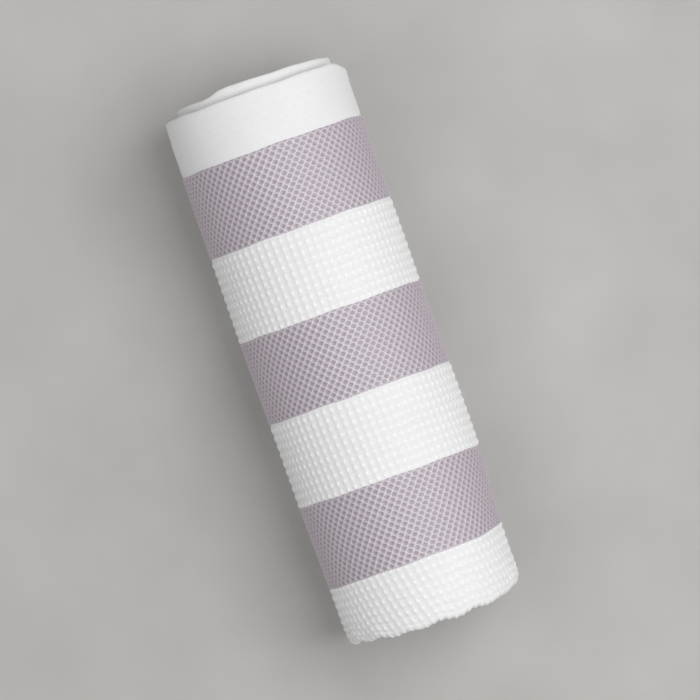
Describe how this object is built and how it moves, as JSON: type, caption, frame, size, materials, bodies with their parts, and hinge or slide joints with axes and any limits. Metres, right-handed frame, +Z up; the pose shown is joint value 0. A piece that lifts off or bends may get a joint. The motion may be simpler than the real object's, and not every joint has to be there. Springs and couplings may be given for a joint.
{
  "type": "golf towel",
  "caption": "Waffle-weave golf towel in white with mauve diamond-weave bands, folded in half and rolled up, lying on its side.",
  "frame": {"origin": "on the surface the roll lies on, under the middle of its bounding box", "axes": "+Y along the roll's axis towards the hemmed end, +Z up through the crest, +X to the side where the outer wrap comes down"},
  "size_m": [0.0864, 0.2586, 0.0862],
  "materials": {
    "waffle_white": "matte",
    "plain_white": "matte",
    "mauve": "matte",
    "thread_white": "satin"
  },
  "bodies": {
    "root": {"front_hem": "plain_white", "front_hem_thread": "thread_white", "front_border": "plain_white", "front_mauve_band_1": "mauve", "front_waffle_band_1": "waffle_white", "front_mauve_band_2": "mauve", "front_waffle_band_2": "waffle_white", "front_mauve_band_3": "mauve", "back_hem": "plain_white", "back_hem_thread": "thread_white", "back_border": "plain_white", "back_mauve_band_1": "mauve", "back_waffle_band_1": "waffle_white", "back_mauve_band_2": "mauve", "back_waffle_band_2": "waffle_white", "back_mauve_band_3": "mauve", "fold_waffle_band": "waffle_white", "core_side_hem": "plain_white", "core_side_hem_thread": "thread_white", "loose_side_hem": "plain_white", "loose_side_hem_thread": "thread_white"}
  },
  "joints": []
}
